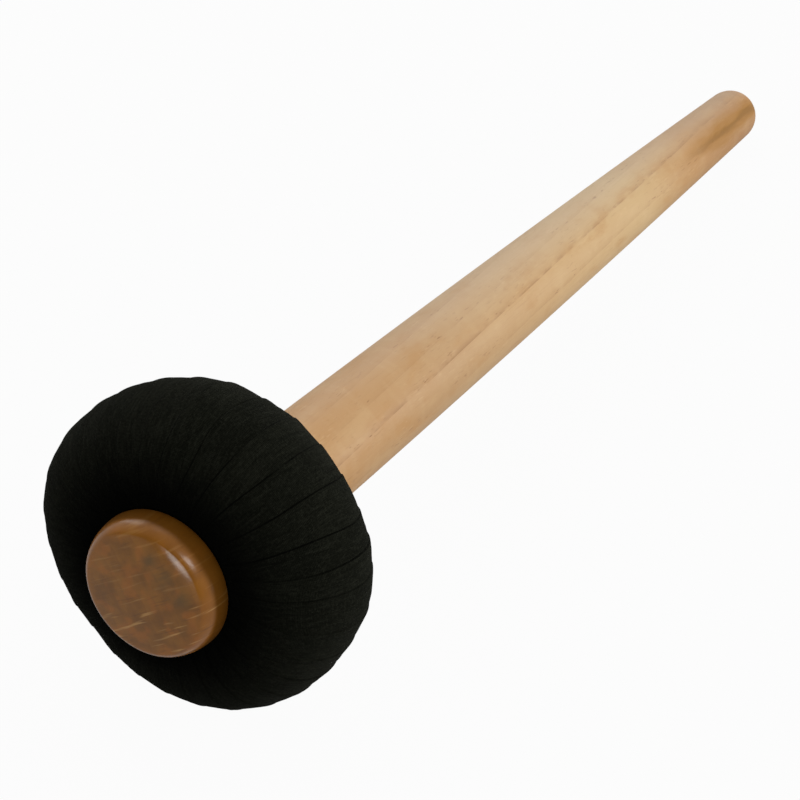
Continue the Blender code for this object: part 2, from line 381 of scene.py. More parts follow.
def handle_finish():
    wood = Finish("maple", Specular_IOR_Level=0.20, Coat_Weight=0.04, Coat_Roughness=0.30)
    place = wood.own_place()
    across, around, along = wood_frame(wood, place, handle_ring_direction, handle_lean)
    color = wood.tones(wood.between(along, 0.0, handle_reach / MM), handle_tones)

    waver = wood.noise(place, handle_waver_grain, seed=1.0, detail=2.0)
    bend = wood.sum("DIVIDE", wood.sum("MULTIPLY", around, around), 2 * handle_pith)
    ring_place = wood.sum("MULTIPLY_ADD", waver, handle_waver, across)
    ring_place = wood.sum("ADD", ring_place, wood.sum("SUBTRACT", bend, handle_ring_start))
    rings = wood.sum("DIVIDE", ring_place, handle_ring_width)
    ring_share = wood.sum("FRACT", rings)
    soft_rings = wood.sum("MULTIPLY", wood.sum("POWER", ring_share, 2.0), soft_ring_share)
    color = wood.stain(soft_rings, color, ring_tone)
    broken = wood.between(wood.noise(place, line_break_grain, seed=2.0), low=0.40, high=0.60)
    line = wood.sum("MULTIPLY", wood.sum("POWER", ring_share, late_wood_narrowness), broken)
    from_main_line = wood.sum("ABSOLUTE", wood.sum("SUBTRACT", rings, 1.0))
    main_line = wood.between(from_main_line, low=0.60, high=0.40)
    lines_shown = wood.sum("MULTIPLY_ADD", main_line, main_line_share, line_share)
    line = wood.sum("MULTIPLY", line, lines_shown)
    color = wood.stain(line, color, ring_line)

    clouds = wood.noise(place, cloud_grain, seed=3.0, detail=4.0)
    color = wood.stain(wood.patch(clouds, low=0.50, high=0.68, share=0.50), color, brown_cloud)
    color = wood.stain(wood.patch(clouds, low=0.48, high=0.28, share=0.24), color, pale_cloud)
    curl = wood.noise(place, curl_grain, seed=4.0, detail=2.0)
    color = wood.stain(wood.patch(curl, low=0.45, high=0.75, share=0.12), color, pale_curl)
    fibre = wood.noise(place, fibre_grain, seed=5.0, detail=4.0, roughness=0.6)
    color = wood.stain(wood.patch(fibre, low=0.52, high=0.75, share=0.22), color, brown_fibre)

    dashes = wood.between(wood.noise(place, dash_grain, seed=6.0, detail=1.0), low=0.61, high=0.72)
    dash_patches = wood.between(wood.noise(place, cloud_grain, seed=7.0, detail=1.0), low=0.42, high=0.60)
    near_line = wood.sum("ADD", wood.between(ring_share, low=0.55, high=0.97), line_fleck_share)
    flecks = wood.sum("MULTIPLY", wood.sum("MULTIPLY", dashes, dash_patches), near_line)
    color = wood.stain(wood.sum("MULTIPLY", flecks, fleck_share), color, brown_fleck)
    pale_dashes = wood.between(wood.noise(place, pale_dash_grain, seed=9.0, detail=1.0), low=0.56, high=0.74)
    pale_patches = wood.noise(place, pale_patch_grain, seed=10.0, detail=1.0)
    pale_flecks = wood.sum("MULTIPLY", pale_dashes, wood.patch(pale_patches, low=0.45, high=0.62, share=0.16))
    color = wood.stain(pale_flecks, color, pale_fleck)

    # Painted reflection: the handle's upper side is painted paler and greyer, as the bright room would look
    # mirrored in it.
    painted_reflection = wood.between(distance_along(wood, place, direction(reflection_side_direction)), *reflection_side_reach)
    painted_reflection = wood.sum("MULTIPLY", painted_reflection, wood.patch(along, *reflection_side_length, share=0.30))
    color = wood.stain(painted_reflection, color, painted_reflection_tone)
    ragged = wood.noise(place, streak_grain, seed=8.0, detail=3.0)
    off = distance_along(wood, place, direction(streak_direction + 90.0))
    off = wood.sum("MULTIPLY_ADD", ragged, streak_raggedness, wood.sum("SUBTRACT", off, streak_middle))
    off = wood.sum("ABSOLUTE", off)
    streak = wood.sum("MULTIPLY", wood.between(off, *streak_reach), wood.between(along, *streak_length))
    on_side = wood.between(distance_along(wood, place, direction(streak_direction)), *streak_side)
    streak = wood.sum("MULTIPLY", streak, on_side)
    streak_core = wood.sum("MULTIPLY", streak, wood.between(off, *streak_core_reach))
    color = wood.stain(wood.sum("MULTIPLY", streak, streak_share), color, streak_tone)
    color = wood.stain(wood.sum("MULTIPLY", streak_core, streak_core_share), color, streak_core_tone)

    wood.feed(wood.shader.inputs["Base Color"], color)
    rough = wood.sum("MULTIPLY_ADD", fibre, fibre_roughness, handle_roughness)
    wood.feed(wood.shader.inputs["Roughness"], rough)
    pores = wood.sum("SUBTRACT", fibre, wood.sum("MULTIPLY", dashes, dash_depth_share))
    wood.feed(wood.shader.inputs["Normal"], wood.relief(pores, pore_depth))
    return wood.material


fit_to_mallet("turned_handle", turned_mesh("turned_handle", handle_profile(), wood_steps),
              handle_finish(), "handle")


# Core ring. A plain ring of bare turned wood in the middle of the head, which gives it its weight.
# It is threaded on the handle's tenon with the felt and the batting built up round it.

core_fibre_grain = (14.0, 0.8, 0.8)
core_band_grain = (60.0, 4.0, 4.0)
core_fibre_depth = 0.2 * MM
core_pale = (0.46, 0.30, 0.16)
core_brown = (0.36, 0.22, 0.11)
core_fibre_brown = (0.25, 0.14, 0.07)


def core_finish():
    wood = Finish("core_wood", Roughness=0.72)
    own = wood.node("TexCoord").outputs["Object"]
    place = wood.node("VectorMath", {0: own, "Scale": 1 / MM}, operation="SCALE").outputs[0]
    fibre = wood.noise(place, core_fibre_grain, seed=11.0, detail=4.0, roughness=0.6)
    bands = wood.noise(place, core_band_grain, seed=12.0, detail=2.0)
    color = wood.stain(wood.between(bands, low=0.35, high=0.65), core_pale, core_brown)
    color = wood.stain(wood.patch(fibre, low=0.5, high=0.8, share=0.5), color, core_fibre_brown)
    wood.feed(wood.shader.inputs["Base Color"], color)
    wood.feed(wood.shader.inputs["Normal"], wood.relief(fibre, core_fibre_depth))
    return wood.material


core_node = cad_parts["core_ring"]
core_node.data.materials.clear()
core_node.data.materials.append(core_finish())


# Felts. A band of hard pressed felt round the core's rim, and a domed ring of softer felt on each of
# its faces, glued on. They are cut from sheet, so their edges are a little uneven and their faces furry.

felt_gap = 0.3 * MM
tape_loops = 29
tape_width = 25.0 * MM
packed_loops = 24
knit_thickness = 0.6 * MM
batting_thickness = 4.5 * MM
core_radius = 31.0 * MM
core_half_length = 10.0 * MM
felt_around_steps = 96
felt_steps = 28
felt_unevenness = 0.35 * MM
felt_patch = 4 * MM
hair_grain = (0.35, 0.35, 0.35)
clump_grain = (3.0, 3.0, 3.0)
hair_depth = 0.25 * MM
clump_share = 0.4
dense_grey = (0.36, 0.35, 0.33)
dense_shade = (0.24, 0.23, 0.21)
soft_grey = (0.50, 0.49, 0.46)
soft_shade = (0.36, 0.35, 0.32)


def tape_depth(turn):
    """The overlapping tape piles up where the loops crowd together towards the hole."""
    return knit_thickness * packed_loops * tape_width / (math.tau * head_section(turn)[0])


def batting_depth(turn):
    """The batting is full at the rim and feathers out to nothing in the hole."""
    return batting_thickness * (1 + numpy.cos(turn)) / 2


def under_batting(turn):
    return under_head(turn, tape_depth(turn) + batting_depth(turn) + 2 * felt_gap)


def uneven(mesh, seed, size, amount):
    """Push every point of a mesh inwards by up to an amount, in soft patches of this size."""
    mesh.update()
    shift = Vector((seed, seed, seed))
    for vertex in mesh.vertices:
        patch = noise.noise(vertex.co / size + shift)
        vertex.co -= vertex.normal * amount * (patch + 1) / 2
    mesh.update()


def felt_profile(first_turn, last_turn, level, inner_radius=None):
    """A felt's domed outer side, closed along the core."""
    radius, height = under_batting(numpy.linspace(first_turn, last_turn, felt_steps + 1))
    profile = list(zip(radius, height))
    first, last = profile[0], profile[-1]
    corners = [last, last, first]
    if inner_radius is not None:
        corners = [last, (inner_radius, last[1]), (inner_radius, first[1])]
    for start, end in zip(corners[:-1], corners[1:]):
        for share in numpy.linspace(0.0, 1.0, felt_steps // 2 + 1)[1:]:
            radius = start[0] + (end[0] - start[0]) * share
            profile.append((radius, start[1] + (end[1] - start[1]) * share))
    if inner_radius is None:
        profile.pop()
    return profile


def felt_finish(name, color, dark, seed):
    felt = Finish(name, Roughness=0.95, Sheen_Weight=0.35, Sheen_Roughness=0.6)
    place = felt.own_place()
    hairs = felt.noise(place, hair_grain, seed=seed, detail=5.0, roughness=0.7)
    clumps = felt.noise(place, clump_grain, seed=seed + 0.5, detail=3.0)
    mixed = felt.stain(felt.between(hairs, low=0.35, high=0.65), color, dark)
    mixed = felt.stain(felt.sum("MULTIPLY", clumps, clump_share), mixed, dark)
    felt.feed(felt.shader.inputs["Base Color"], mixed)
    felt.feed(felt.shader.inputs["Normal"], felt.relief(hairs, hair_depth))
    return felt.material


dense_felt = felt_finish("dense_felt", dense_grey, dense_shade, seed=21.0)
soft_felt = felt_finish("soft_felt", soft_grey, soft_shade, seed=22.0)

rim_turn = turn_at(lambda turn: under_batting(turn)[1], core_half_length, 0.0, math.pi / 2)
face_level = core_half_length + felt_gap
face_outer_turn = turn_at(lambda turn: under_batting(turn)[1], face_level, 0.0, math.pi / 2)
face_inner_turn = turn_at(lambda turn: under_batting(turn)[1], face_level, math.pi / 2, math.pi)

rim_band = felt_profile(rim_turn, -rim_turn, core_half_length, core_radius + felt_gap)
rear_ring = felt_profile(face_inner_turn, face_outer_turn, face_level)
front_ring = [(radius, -height) for radius, height in reversed(rear_ring)]

# Felts: piece, profile, finish, node, slot and how full its form is.
felts = [
    ("rim_felt_band", rim_band, dense_felt, "rim_felt", "dense_felt", 1.0),
    ("rear_felt_ring", rear_ring, soft_felt, "rear_felt", "soft_felt", 0.9),
    ("front_felt_ring", front_ring, soft_felt, "front_felt", "soft_felt", 0.9),
]
for seed, (name, profile, finish, node, slot, fill) in enumerate(felts):
    felt_mesh = turned_mesh(name, profile, felt_around_steps, closed=True)
    uneven(felt_mesh, seed, felt_patch, felt_unevenness)
    fit_to_mallet(name, felt_mesh, finish, node)


# Batting. A sleeve of loose cotton, laid round the felts and pulled in tight by the tape, full at
# the rim and thin towards the hole. It takes up the lumps that hand winding leaves in the head.

# Waves round the rim: how many, how far they stand out and where one crest is, in degrees.
lobes = [
    (2, 0.38 * MM, 150.8),
    (3, 0.73 * MM, 64.4),
    (4, 0.74 * MM, 6.6),
    (5, 0.36 * MM, 70.0),
    (6, 0.29 * MM, 55.0),
    (7, 0.19 * MM, 39.4),
]
# Dents and one bump in the rim: where, how far they stand out, and how wide, in degrees.
dents = [
    (302.0, -1.8 * MM, 10.5),
    (284.0, -2.4 * MM, 11.0),
    (131.0, -1.0 * MM, 8.0),
    (355.0, -0.5 * MM, 6.0),
    (328.5, 0.5 * MM, 5.0),
]
batting_end_turn = math.radians(135.0)
batting_steps = 64
batting_around_steps = 180
batting_unevenness = 0.25 * MM
batting_patch = 6 * MM
cotton_white = (0.74, 0.71, 0.64)
cotton_shade = (0.62, 0.58, 0.50)


def lump(turn, angle):
    """How far the hand-wound head stands out from a true ring: most at the rim, nothing in the hole."""
    height = sum(size * numpy.cos(count * (angle - math.radians(crest))) for count, size, crest in lobes)
    for middle, size, width in dents:
        off = (numpy.degrees(angle) - middle + 180.0) % 360.0 - 180.0
        height = height + size * numpy.exp(-(off / width) ** 2)
    return height * (1 + numpy.cos(turn)) / 2


def lumpy_mesh(name, turn_sides, steps):
    """A ring whose outer side follows the lumps. Each side is its turns and their depths inwards."""
    rows = []
    for turns, depths in turn_sides:
        radius, height = under_head(turns, depths)
        angle = numpy.linspace(0.0, math.tau, steps, endpoint=False)[None, :]
        swollen = radius[:, None] + lump(turns[:, None], angle)
        level = numpy.broadcast_to(height[:, None], swollen.shape)
        places = [swollen * numpy.cos(angle), swollen * numpy.sin(angle), level]
        rows.append(numpy.stack(places, axis=2))
    grid = numpy.concatenate(rows)
    count = len(grid)
    numbers = numpy.arange(count * steps).reshape(count, steps)
    right = numpy.roll(numbers, -1, axis=1)
    below = numpy.roll(numbers, -1, axis=0)
    corner = numpy.roll(right, -1, axis=0)
    faces = numpy.stack([numbers, below, corner, right], axis=2).reshape(-1, 4)
    mesh = bpy.data.meshes.new(name)
    mesh.from_pydata(grid.reshape(-1, 3).tolist(), [], faces.tolist())
    mesh.shade_smooth()
    return mesh


def batting_mesh():
    turns = numpy.linspace(batting_end_turn, -batting_end_turn, batting_steps + 1)
    outer = tape_depth(turns) + felt_gap
    inner = outer + batting_depth(turns)
    sides = [(turns, outer), (turns[::-1], inner[::-1])]
    mesh = lumpy_mesh("cotton_batting", sides, batting_around_steps)
    uneven(mesh, 7, batting_patch, batting_unevenness)
    return mesh


cotton = felt_finish("cotton_batting", cotton_white, cotton_shade, seed=31.0)
batting = fit_to_mallet("cotton_batting", batting_mesh(), cotton, "batting")


# Cover. One long black tape of finely ribbed knit, wound through the hole and round the padding
# twenty-nine times, half over itself. Each loop's raised edge shows as a thin line, crisp at the
# upper right and worn flatter elsewhere, and the loops crowd together in the hole. Light is painted
# into its colour: a painted shadow along each edge's foot, strongest at the upper right, painted
# shade towards the hole and in the low parts of its stitches, puckers and nubs, and a painted
# sheen on their crests.

loop_angle = math.tau / tape_loops
first_edge = math.radians(-104.5)
edge_height = 0.42 * MM
edge_height_worn = 0.28 * MM
edge_unevenness = 0.25
edge_roll = 0.040 * MM
edge_undercut = 0.032 * MM
edge_wander = math.radians(0.45)
crisp_direction = -68.0
loop_flatness = 0.55
gather_depth = 0.064 * MM

# How far the loops' edges stand off their even spacing, in degrees: the ones that show from the
# front, in order, and the usual amount for the others.
seen_edge_shifts = [0.0, -0.9, -0.3, -0.2, -0.2, 0.7, 2.5, 0.6, -2.3, 0.3, 0.4]
edge_shift_spread = 0.9

# Waves for each loop of tape.
wander_waves = 5
unevenness_waves = 4
gather_waves = 22

# Points along the tape for each loop, and places across it from its own edge to the next loop's.
cover_rows = 120
cover_columns = [0.0, 0.03, 0.08, 0.16, 0.26, 0.38, 0.50, 0.62, 0.74, 0.84, 0.92, 0.97]
gathered_columns = [3, 5, 7]
gather_seeds = [40, 41, 42]
cover_crease = math.radians(50.0)

floor_clearance = 0.02 * MM
press_softness = 0.5 * MM
press_reach = 2.0 * MM


def even_turns(count):
    """Turns that divide the head's section into equal lengths, from the hole round to the hole."""
    turns = numpy.linspace(-math.pi, math.pi, search_steps)
    radius, height = head_section(turns)
    length = numpy.concatenate([[0.0], numpy.cumsum(numpy.hypot(numpy.diff(radius), numpy.diff(height)))])
    wanted = numpy.linspace(0.0, length[-1], count, endpoint=False)
    return numpy.interp(wanted, length, turns), length[-1]


def wavering(steps, waves, seed):
    """A smooth closed line of ups and downs of about 1, with this many waves at most."""
    chance = random.Random(seed)
    share = numpy.arange(steps) / steps * math.tau
    line = numpy.zeros(steps)
    for wave in range(1, waves + 1):
        line += chance.gauss(0.0, 1.0) * numpy.cos(wave * share + chance.uniform(0.0, math.tau))
    return line / math.sqrt(waves)


def loop_edges():
    """The direction of the tape's edge and of the next loop's, at each point along the tape."""
    rows = tape_loops * cover_rows
    chance = random.Random(5)
    shifts = [math.radians(chance.gauss(0.0, edge_shift_spread)) for _ in range(tape_loops)]
    shifts[:len(seen_edge_shifts)] = [math.radians(shift) for shift in seen_edge_shifts]
    loop_place = numpy.arange(rows) / cover_rows - 0.5
    shift = numpy.interp(loop_place, numpy.arange(tape_loops), shifts, period=tape_loops)
    edge = first_edge + loop_angle * loop_place + shift
    edge = edge + edge_wander * wavering(rows, wander_waves * tape_loops, 3)
    next_edge = numpy.roll(edge, -cover_rows)
    next_edge[-cover_rows:] += math.tau
    tones = numpy.array([chance.random() for _ in range(tape_loops)])
    return edge, next_edge, tones


def cover_mesh():
    turns, section_length = even_turns(cover_rows)
    rows = tape_loops * cover_rows
    row = numpy.arange(rows)
    turn = turns[row % cover_rows]
    edge, next_edge, tones = loop_edges()
    crisp = (1 + numpy.cos(edge - math.radians(crisp_direction))) / 2
    rise = edge_height_worn + (edge_height - edge_height_worn) * crisp
    rise = rise * (1 + edge_unevenness * wavering(rows, unevenness_waves * tape_loops, 4))

    share = numpy.array(cover_columns)[None, :]
    angle = edge[:, None] + (next_edge - edge)[:, None] * share
    radius = head_section(turn)[0]
    crowding = (radius / head_radius)[:, None]
    level = rise[:, None] * crowding * (0.5 - share)
    level[:, 0] = -0.5 * rise * crowding[:, 0]
    angle[:, 0] -= edge_undercut / radius
    level[:, 1] -= edge_roll * crowding[:, 0]
    dip = head_radius * (1 - math.cos(loop_angle / 2)) * loop_flatness
    level -= dip * crowding * (1 - (2 * share - 1) ** 2) * (1 + numpy.cos(turn[:, None])) / 2
    gathers = [wavering(rows, gather_waves * tape_loops, seed) for seed in gather_seeds]
    level[:, gathered_columns] += gather_depth * numpy.stack(gathers, axis=1) * crowding

    out_radius, out_height = under_head(turn[:, None] + 0.0 * share, -level)
    out_radius = out_radius + lump(turn[:, None], angle)
    places = [out_radius * numpy.cos(angle), out_radius * numpy.sin(angle), out_height]
    places = press_on_floor(numpy.stack(places, axis=2).reshape(-1, 3))

    columns = len(cover_columns)
    numbers = numpy.arange(rows * columns).reshape(rows, columns)
    first_column = numpy.roll(numbers[:, :1], -cover_rows, axis=0)
    sideways = numpy.concatenate([numbers[:, 1:], first_column], axis=1)
    onward = numpy.roll(numbers, -1, axis=0)
    corner = numpy.roll(sideways, -1, axis=0)
    faces = numpy.stack([numbers, sideways, corner, onward], axis=2).reshape(-1, 4)
    mesh = bpy.data.meshes.new("knit_cover")
    mesh.from_pydata(places.tolist(), [], faces.tolist())
    mesh.shade_smooth()
    mesh.set_sharp_from_angle(angle=cover_crease)

    side = numpy.append(cover_columns, 1.0)
    across = ((next_edge - edge) * radius / MM)[:, None] * side[None, :]
    across_onward = numpy.roll(across, -1, axis=0)
    along = (row / cover_rows * section_length / MM)[:, None]
    along_onward = along + section_length / cover_rows / MM
    weave = numpy.empty((rows, columns, 4, 2))
    weave[..., 0, 0] = across[:, :-1]
    weave[..., 1, 0] = across[:, 1:]
    weave[..., 2, 0] = across_onward[:, 1:]
    weave[..., 3, 0] = across_onward[:, :-1]
    weave[..., 0:2, 1] = along[:, :, None]
    weave[..., 2:4, 1] = along_onward[:, :, None]
    mesh.uv_layers.new(name="tape_weave").data.foreach_set("uv", weave.ravel())
    loop_tone = mesh.attributes.new("loop_tone", "FLOAT", "FACE")
    loop_tone.data.foreach_set("value", numpy.repeat(tones, cover_rows * columns))
    return mesh


def press_on_floor(places):
    """The head's own weight presses the soft rim flat where it rests on the table."""
    turned = numpy.array(mallet_place)
    heights = places @ turned[2, :3] + turned[2, 3] - floor_clearance
    lifted = (heights + numpy.sqrt(heights ** 2 + press_softness ** 2)) / 2
    rise = numpy.where(heights < press_reach, lifted - heights, 0.0)
    blend = numpy.clip((press_reach - heights) / (press_reach - press_softness), 0.0, 1.0)
    return places + (rise * blend)[:, None] * turned[2, :3][None, :]


knit_rib = 0.45
knit_wale = 0.62
knit_drift_grain = (5.0, 5.0, 5.0)
rib_drift = 4.0
wale_drift = 3.0
wear_grain = (12.0, 12.0, 12.0)
pucker_grain = (0.8, 5.0, 1.0)
nub_grain = (0.75, 0.75, 0.75)
fuzz_grain = (0.22, 0.22, 0.22)
lint_grain = (0.5, 0.5, 0.5)
groove_patch_grain = (14.0, 14.0, 14.0)
groove_width = 0.60
groove_full = 0.20
crisp_reach = (12.0, 38.0)
hole_painted_shade_reach = (46.0, 24.0)
loop_spacing = 90.0
rib_share = 0.65
wale_share = 0.35
upper_right_shadow_share = 0.60
elsewhere_shadow_share = 0.20
stitch_depth = 0.10 * MM
pucker_depth = 0.22 * MM
fuzz_depth = 0.06 * MM

black_tones = ((0.0068, 0.0073, 0.0050), (0.0092, 0.0098, 0.0067))
worn_black = (0.0140, 0.0147, 0.0102)
# Painted sheen on the knit's raised crests, then painted shade for the low parts of its puckers, nubs and
# stitches.
crest_painted_sheen = (0.0190, 0.0200, 0.0142)
pucker_painted_shade = (0.0035, 0.0037, 0.0026)
nub_painted_shade = (0.0040, 0.0043, 0.0030)
stitch_painted_shade = (0.0030, 0.0032, 0.0023)
# Painted shadow at the foot of each loop's raised edge.
groove_painted_shadow = (0.0009, 0.0009, 0.0007)
# Painted shade towards the hole.
hole_painted_shade = (0.0004, 0.0004, 0.0004)
lint_tone = (0.045, 0.042, 0.034)


def knit_waves(knit, drift, amount, distance, spacing):
    """Rows of the knit, from 0 in the furrows to 1 on the crests, which drift a little."""
    wave = knit.sum("MULTIPLY_ADD", drift, amount, knit.sum("MULTIPLY", distance, math.tau / spacing))
    return knit.sum("MULTIPLY_ADD", knit.sum("SINE", wave), 0.5, 0.5)


def knit_finish():
    knit = Finish("knit_tape", Roughness=0.95, Sheen_Weight=0.02, Sheen_Roughness=0.35,
                  Sheen_Tint=(0.93, 0.95, 0.82, 1.0), Specular_IOR_Level=0.01)
    place = knit.own_place()
    weave = knit.node("SeparateXYZ", {0: knit.node("UVMap", uv_map="tape_weave").outputs[0]})
    across, along = weave.outputs["X"], weave.outputs["Y"]
    drift = knit.noise(place, knit_drift_grain, seed=41.0, detail=2.0)
    ribs = knit_waves(knit, drift, rib_drift, along, knit_rib)
    wales = knit_waves(knit, drift, wale_drift, across, knit_wale)
    stitches = knit.sum("MULTIPLY_ADD", wales, wale_share, knit.sum("MULTIPLY", ribs, rib_share))

    loop_tone = knit.node("Attribute", attribute_name="loop_tone").outputs["Fac"]
    color = knit.stain(loop_tone, *black_tones)
    wear = knit.noise(place, wear_grain, seed=43.0, detail=3.0)
    color = knit.stain(knit.patch(wear, low=0.45, high=0.75, share=0.5), color, worn_black)
    strands = {0: across, 1: along, 2: knit.sum("MULTIPLY", loop_tone, loop_spacing)}
    puckers = knit.noise(knit.node("CombineXYZ", strands).outputs[0], pucker_grain, seed=45.0, detail=2.0)
    # Painted light following the relief: painted shade where the puckers and nubs are low, and a painted
    # sheen where they are high.
    color = knit.stain(knit.patch(puckers, low=0.52, high=0.34, share=0.45), color, pucker_painted_shade)
    color = knit.stain(knit.patch(puckers, low=0.52, high=0.70, share=0.45), color, crest_painted_sheen)
    nubs = knit.noise(place, nub_grain, seed=46.0, detail=2.0)
    color = knit.stain(knit.patch(nubs, low=0.50, high=0.34, share=0.45), color, nub_painted_shade)
    color = knit.stain(knit.patch(nubs, low=0.52, high=0.68, share=0.45), color, crest_painted_sheen)
    # Painted shade in the furrows between the stitches.
    color = knit.stain(knit.patch(stitches, low=0.55, high=0.1, share=0.5), color, stitch_painted_shade)

    # Painted shadow: a dark line along the foot of each loop's raised edge, strongest on the upper right side
    # and broken into patches.
    crisp = knit.between(distance_along(knit, place, direction(crisp_direction)), *crisp_reach)
    groove_patches = knit.noise(place, groove_patch_grain, seed=47.0, detail=1.0)
    crisp = knit.sum("MULTIPLY", knit.between(groove_patches, low=0.30, high=0.50), crisp)
    shown = knit.sum("MULTIPLY_ADD", crisp, upper_right_shadow_share, elsewhere_shadow_share)
    groove = knit.sum("MULTIPLY", knit.between(across, groove_width, groove_full), shown)
    color = knit.stain(groove, color, groove_painted_shadow)
    # Painted shade: the knit is painted darker towards the hole.
    from_axis = distance_between(knit, square_to_axis(knit, place))
    color = knit.stain(knit.patch(from_axis, *hole_painted_shade_reach, share=0.90), color, hole_painted_shade)
    lint = knit.noise(place, lint_grain, seed=44.0, detail=1.0)
    color = knit.stain(knit.patch(lint, low=0.80, high=0.86, share=0.35), color, lint_tone)
    knit.feed(knit.shader.inputs["Base Color"], color)

    fuzz = knit.noise(place, fuzz_grain, seed=42.0, detail=3.0, roughness=0.7)
    relief = knit.relief(stitches, stitch_depth)
    relief = knit.relief(knit.sum("ADD", puckers, nubs), pucker_depth, under=relief)
    knit.feed(knit.shader.inputs["Normal"], knit.relief(fuzz, fuzz_depth, under=relief))
    return knit.material


cover = fit_to_mallet("knit_cover", cover_mesh(), knit_finish(), "tape_winding")


# End knob. A round of browner hardwood, turned with its end grain outwards, bored for the tenon and
# glued on. Its back is hollowed to nest in the head's mouth. Its face is lacquered, with an edge
# sanded softer on one side, and its flank is bare and dark.

knob_radius = 22.4 * MM
knob_dome = 1.2 * MM
knob_edge_reach = 3.7 * MM
knob_edge_length = 8.7 * MM
knob_back_edge = 1.5 * MM
knob_neck_wall = 2.0 * MM
bore_gap = 0.3 * MM
sanded_direction = math.radians(-48.0)
sanded_spread = math.radians(38.0)
sanded_depth = 3.2 * MM
sanded_inside = 12.0 * MM
sanded_steepness = 2.5


def knob_profile():
    face = knob_face_height
    widest = face + knob_edge_length
    bore_radius = tenon_radius + bore_gap
    bore_end = tenon_end_height - bore_gap
    inner = knob_radius - knob_back_edge
    neck = bore_radius + knob_neck_wall
    back_turn = turn_at(lambda turn: under_head(turn, -seat_gap)[0], inner, -math.pi / 2, -math.pi)
    neck_turn = turn_at(lambda turn: under_head(turn, -seat_gap)[0], neck, -math.pi / 2, -math.pi)
    seat = seat_profile(neck_turn, back_turn)
    profile = [(0.0, bore_end), (bore_radius, bore_end), (bore_radius, seat[0][1])]
    profile += seat
    back_edge = (knob_back_edge, seat[-1][1] - widest)
    profile += round_profile((inner, widest), *back_edge, math.pi / 2, 0.0, round_steps)[1:]
    face_radius = knob_radius - knob_edge_reach
    face_slope = 2 * knob_dome / face_radius
    meeting = math.atan(face_slope * knob_edge_reach / knob_edge_length) - math.pi / 2
    face_edge = (knob_edge_reach, knob_edge_length)
    profile += round_profile((face_radius, widest), *face_edge, 0.0, meeting, round_steps)[1:]
    for radius in numpy.linspace(face_radius, 0.0, round_steps + 1)[1:]:
        profile.append((radius, face - knob_dome * (1 - (radius / face_radius) ** 2)))
    return profile


def knob_mesh():
    """The turned knob, its face's edge sanded softer by hand on one side."""
    mesh = turned_mesh("end_grain_knob", knob_profile(), wood_steps)
    widest = knob_face_height + knob_edge_length
    for vertex in mesh.vertices:
        radius = math.hypot(vertex.co.x, vertex.co.y)
        if vertex.co.z > widest or radius < sanded_inside:
            continue
        angle = math.atan2(vertex.co.y, vertex.co.x)
        off = math.remainder(angle - sanded_direction, math.tau) / sanded_spread
        reach = (radius - sanded_inside) / (knob_radius - sanded_inside)
        front = min(1.0, (widest - vertex.co.z) / knob_edge_length)
        vertex.co.z += sanded_depth * math.exp(-off * off) * reach ** sanded_steepness * front
    return mesh


knob_ring_direction = -34.5
knob_lean = 0.03
knob_pith = 70.0
knob_ring_width = 4.6
knob_waver = 3.0
knob_waver_grain = (9.0, 9.0, 40.0)
knob_cloud_grain = (6.0, 6.0, 25.0)
flush_grain = (5.0, 5.0, 20.0)
ray_grain = (13.0, 1.20, 30.0)
dark_ray_grain = (9.0, 0.90, 30.0)
dark_spot_grain = (7.0, 3.0, 20.0)
pore_grain = (0.35, 0.35, 6.0)
ray_depth = 0.05 * MM
edge_tone_reach = (16.0, 20.5)
low_half = (-4.0, 11.0)
low_half_share = 0.70
high_half_share = 0.20
flank_reach = (-29.6, -27.2)
flank_share = 0.75
pore_share = 0.25
late_wood_share = 0.22
lacquer_weight = 0.70
face_roughness = 0.40
flank_roughness = 0.30
pore_roughness = 0.15
pore_depth_share = 0.6

# Darker spots on the face: how far right of the axis, how far below it, and their reach.
dark_spots = [
    (2.6, -12.6, 3.4),
    (7.0, -9.2, 4.6),
    (12.8, -4.2, 4.0),
]
dark_spot_spread = 1.4
dark_spot_share = 0.22
ragged_dark_spot_share = 0.50

face_tones = ((0.285, 0.114, 0.011), (0.200, 0.077, 0.0065))
knob_ring_tone = (0.16, 0.052, 0.006)
flush_tone = (0.40, 0.125, 0.010)
edge_tone = (0.34, 0.115, 0.009)
pale_ray = (0.62, 0.34, 0.110)
dark_ray = (0.13, 0.045, 0.004)
dark_spot_tone = (0.110, 0.062, 0.016)
flank_tone = (0.075, 0.027, 0.001)
pore_tone = (0.11, 0.038, 0.008)


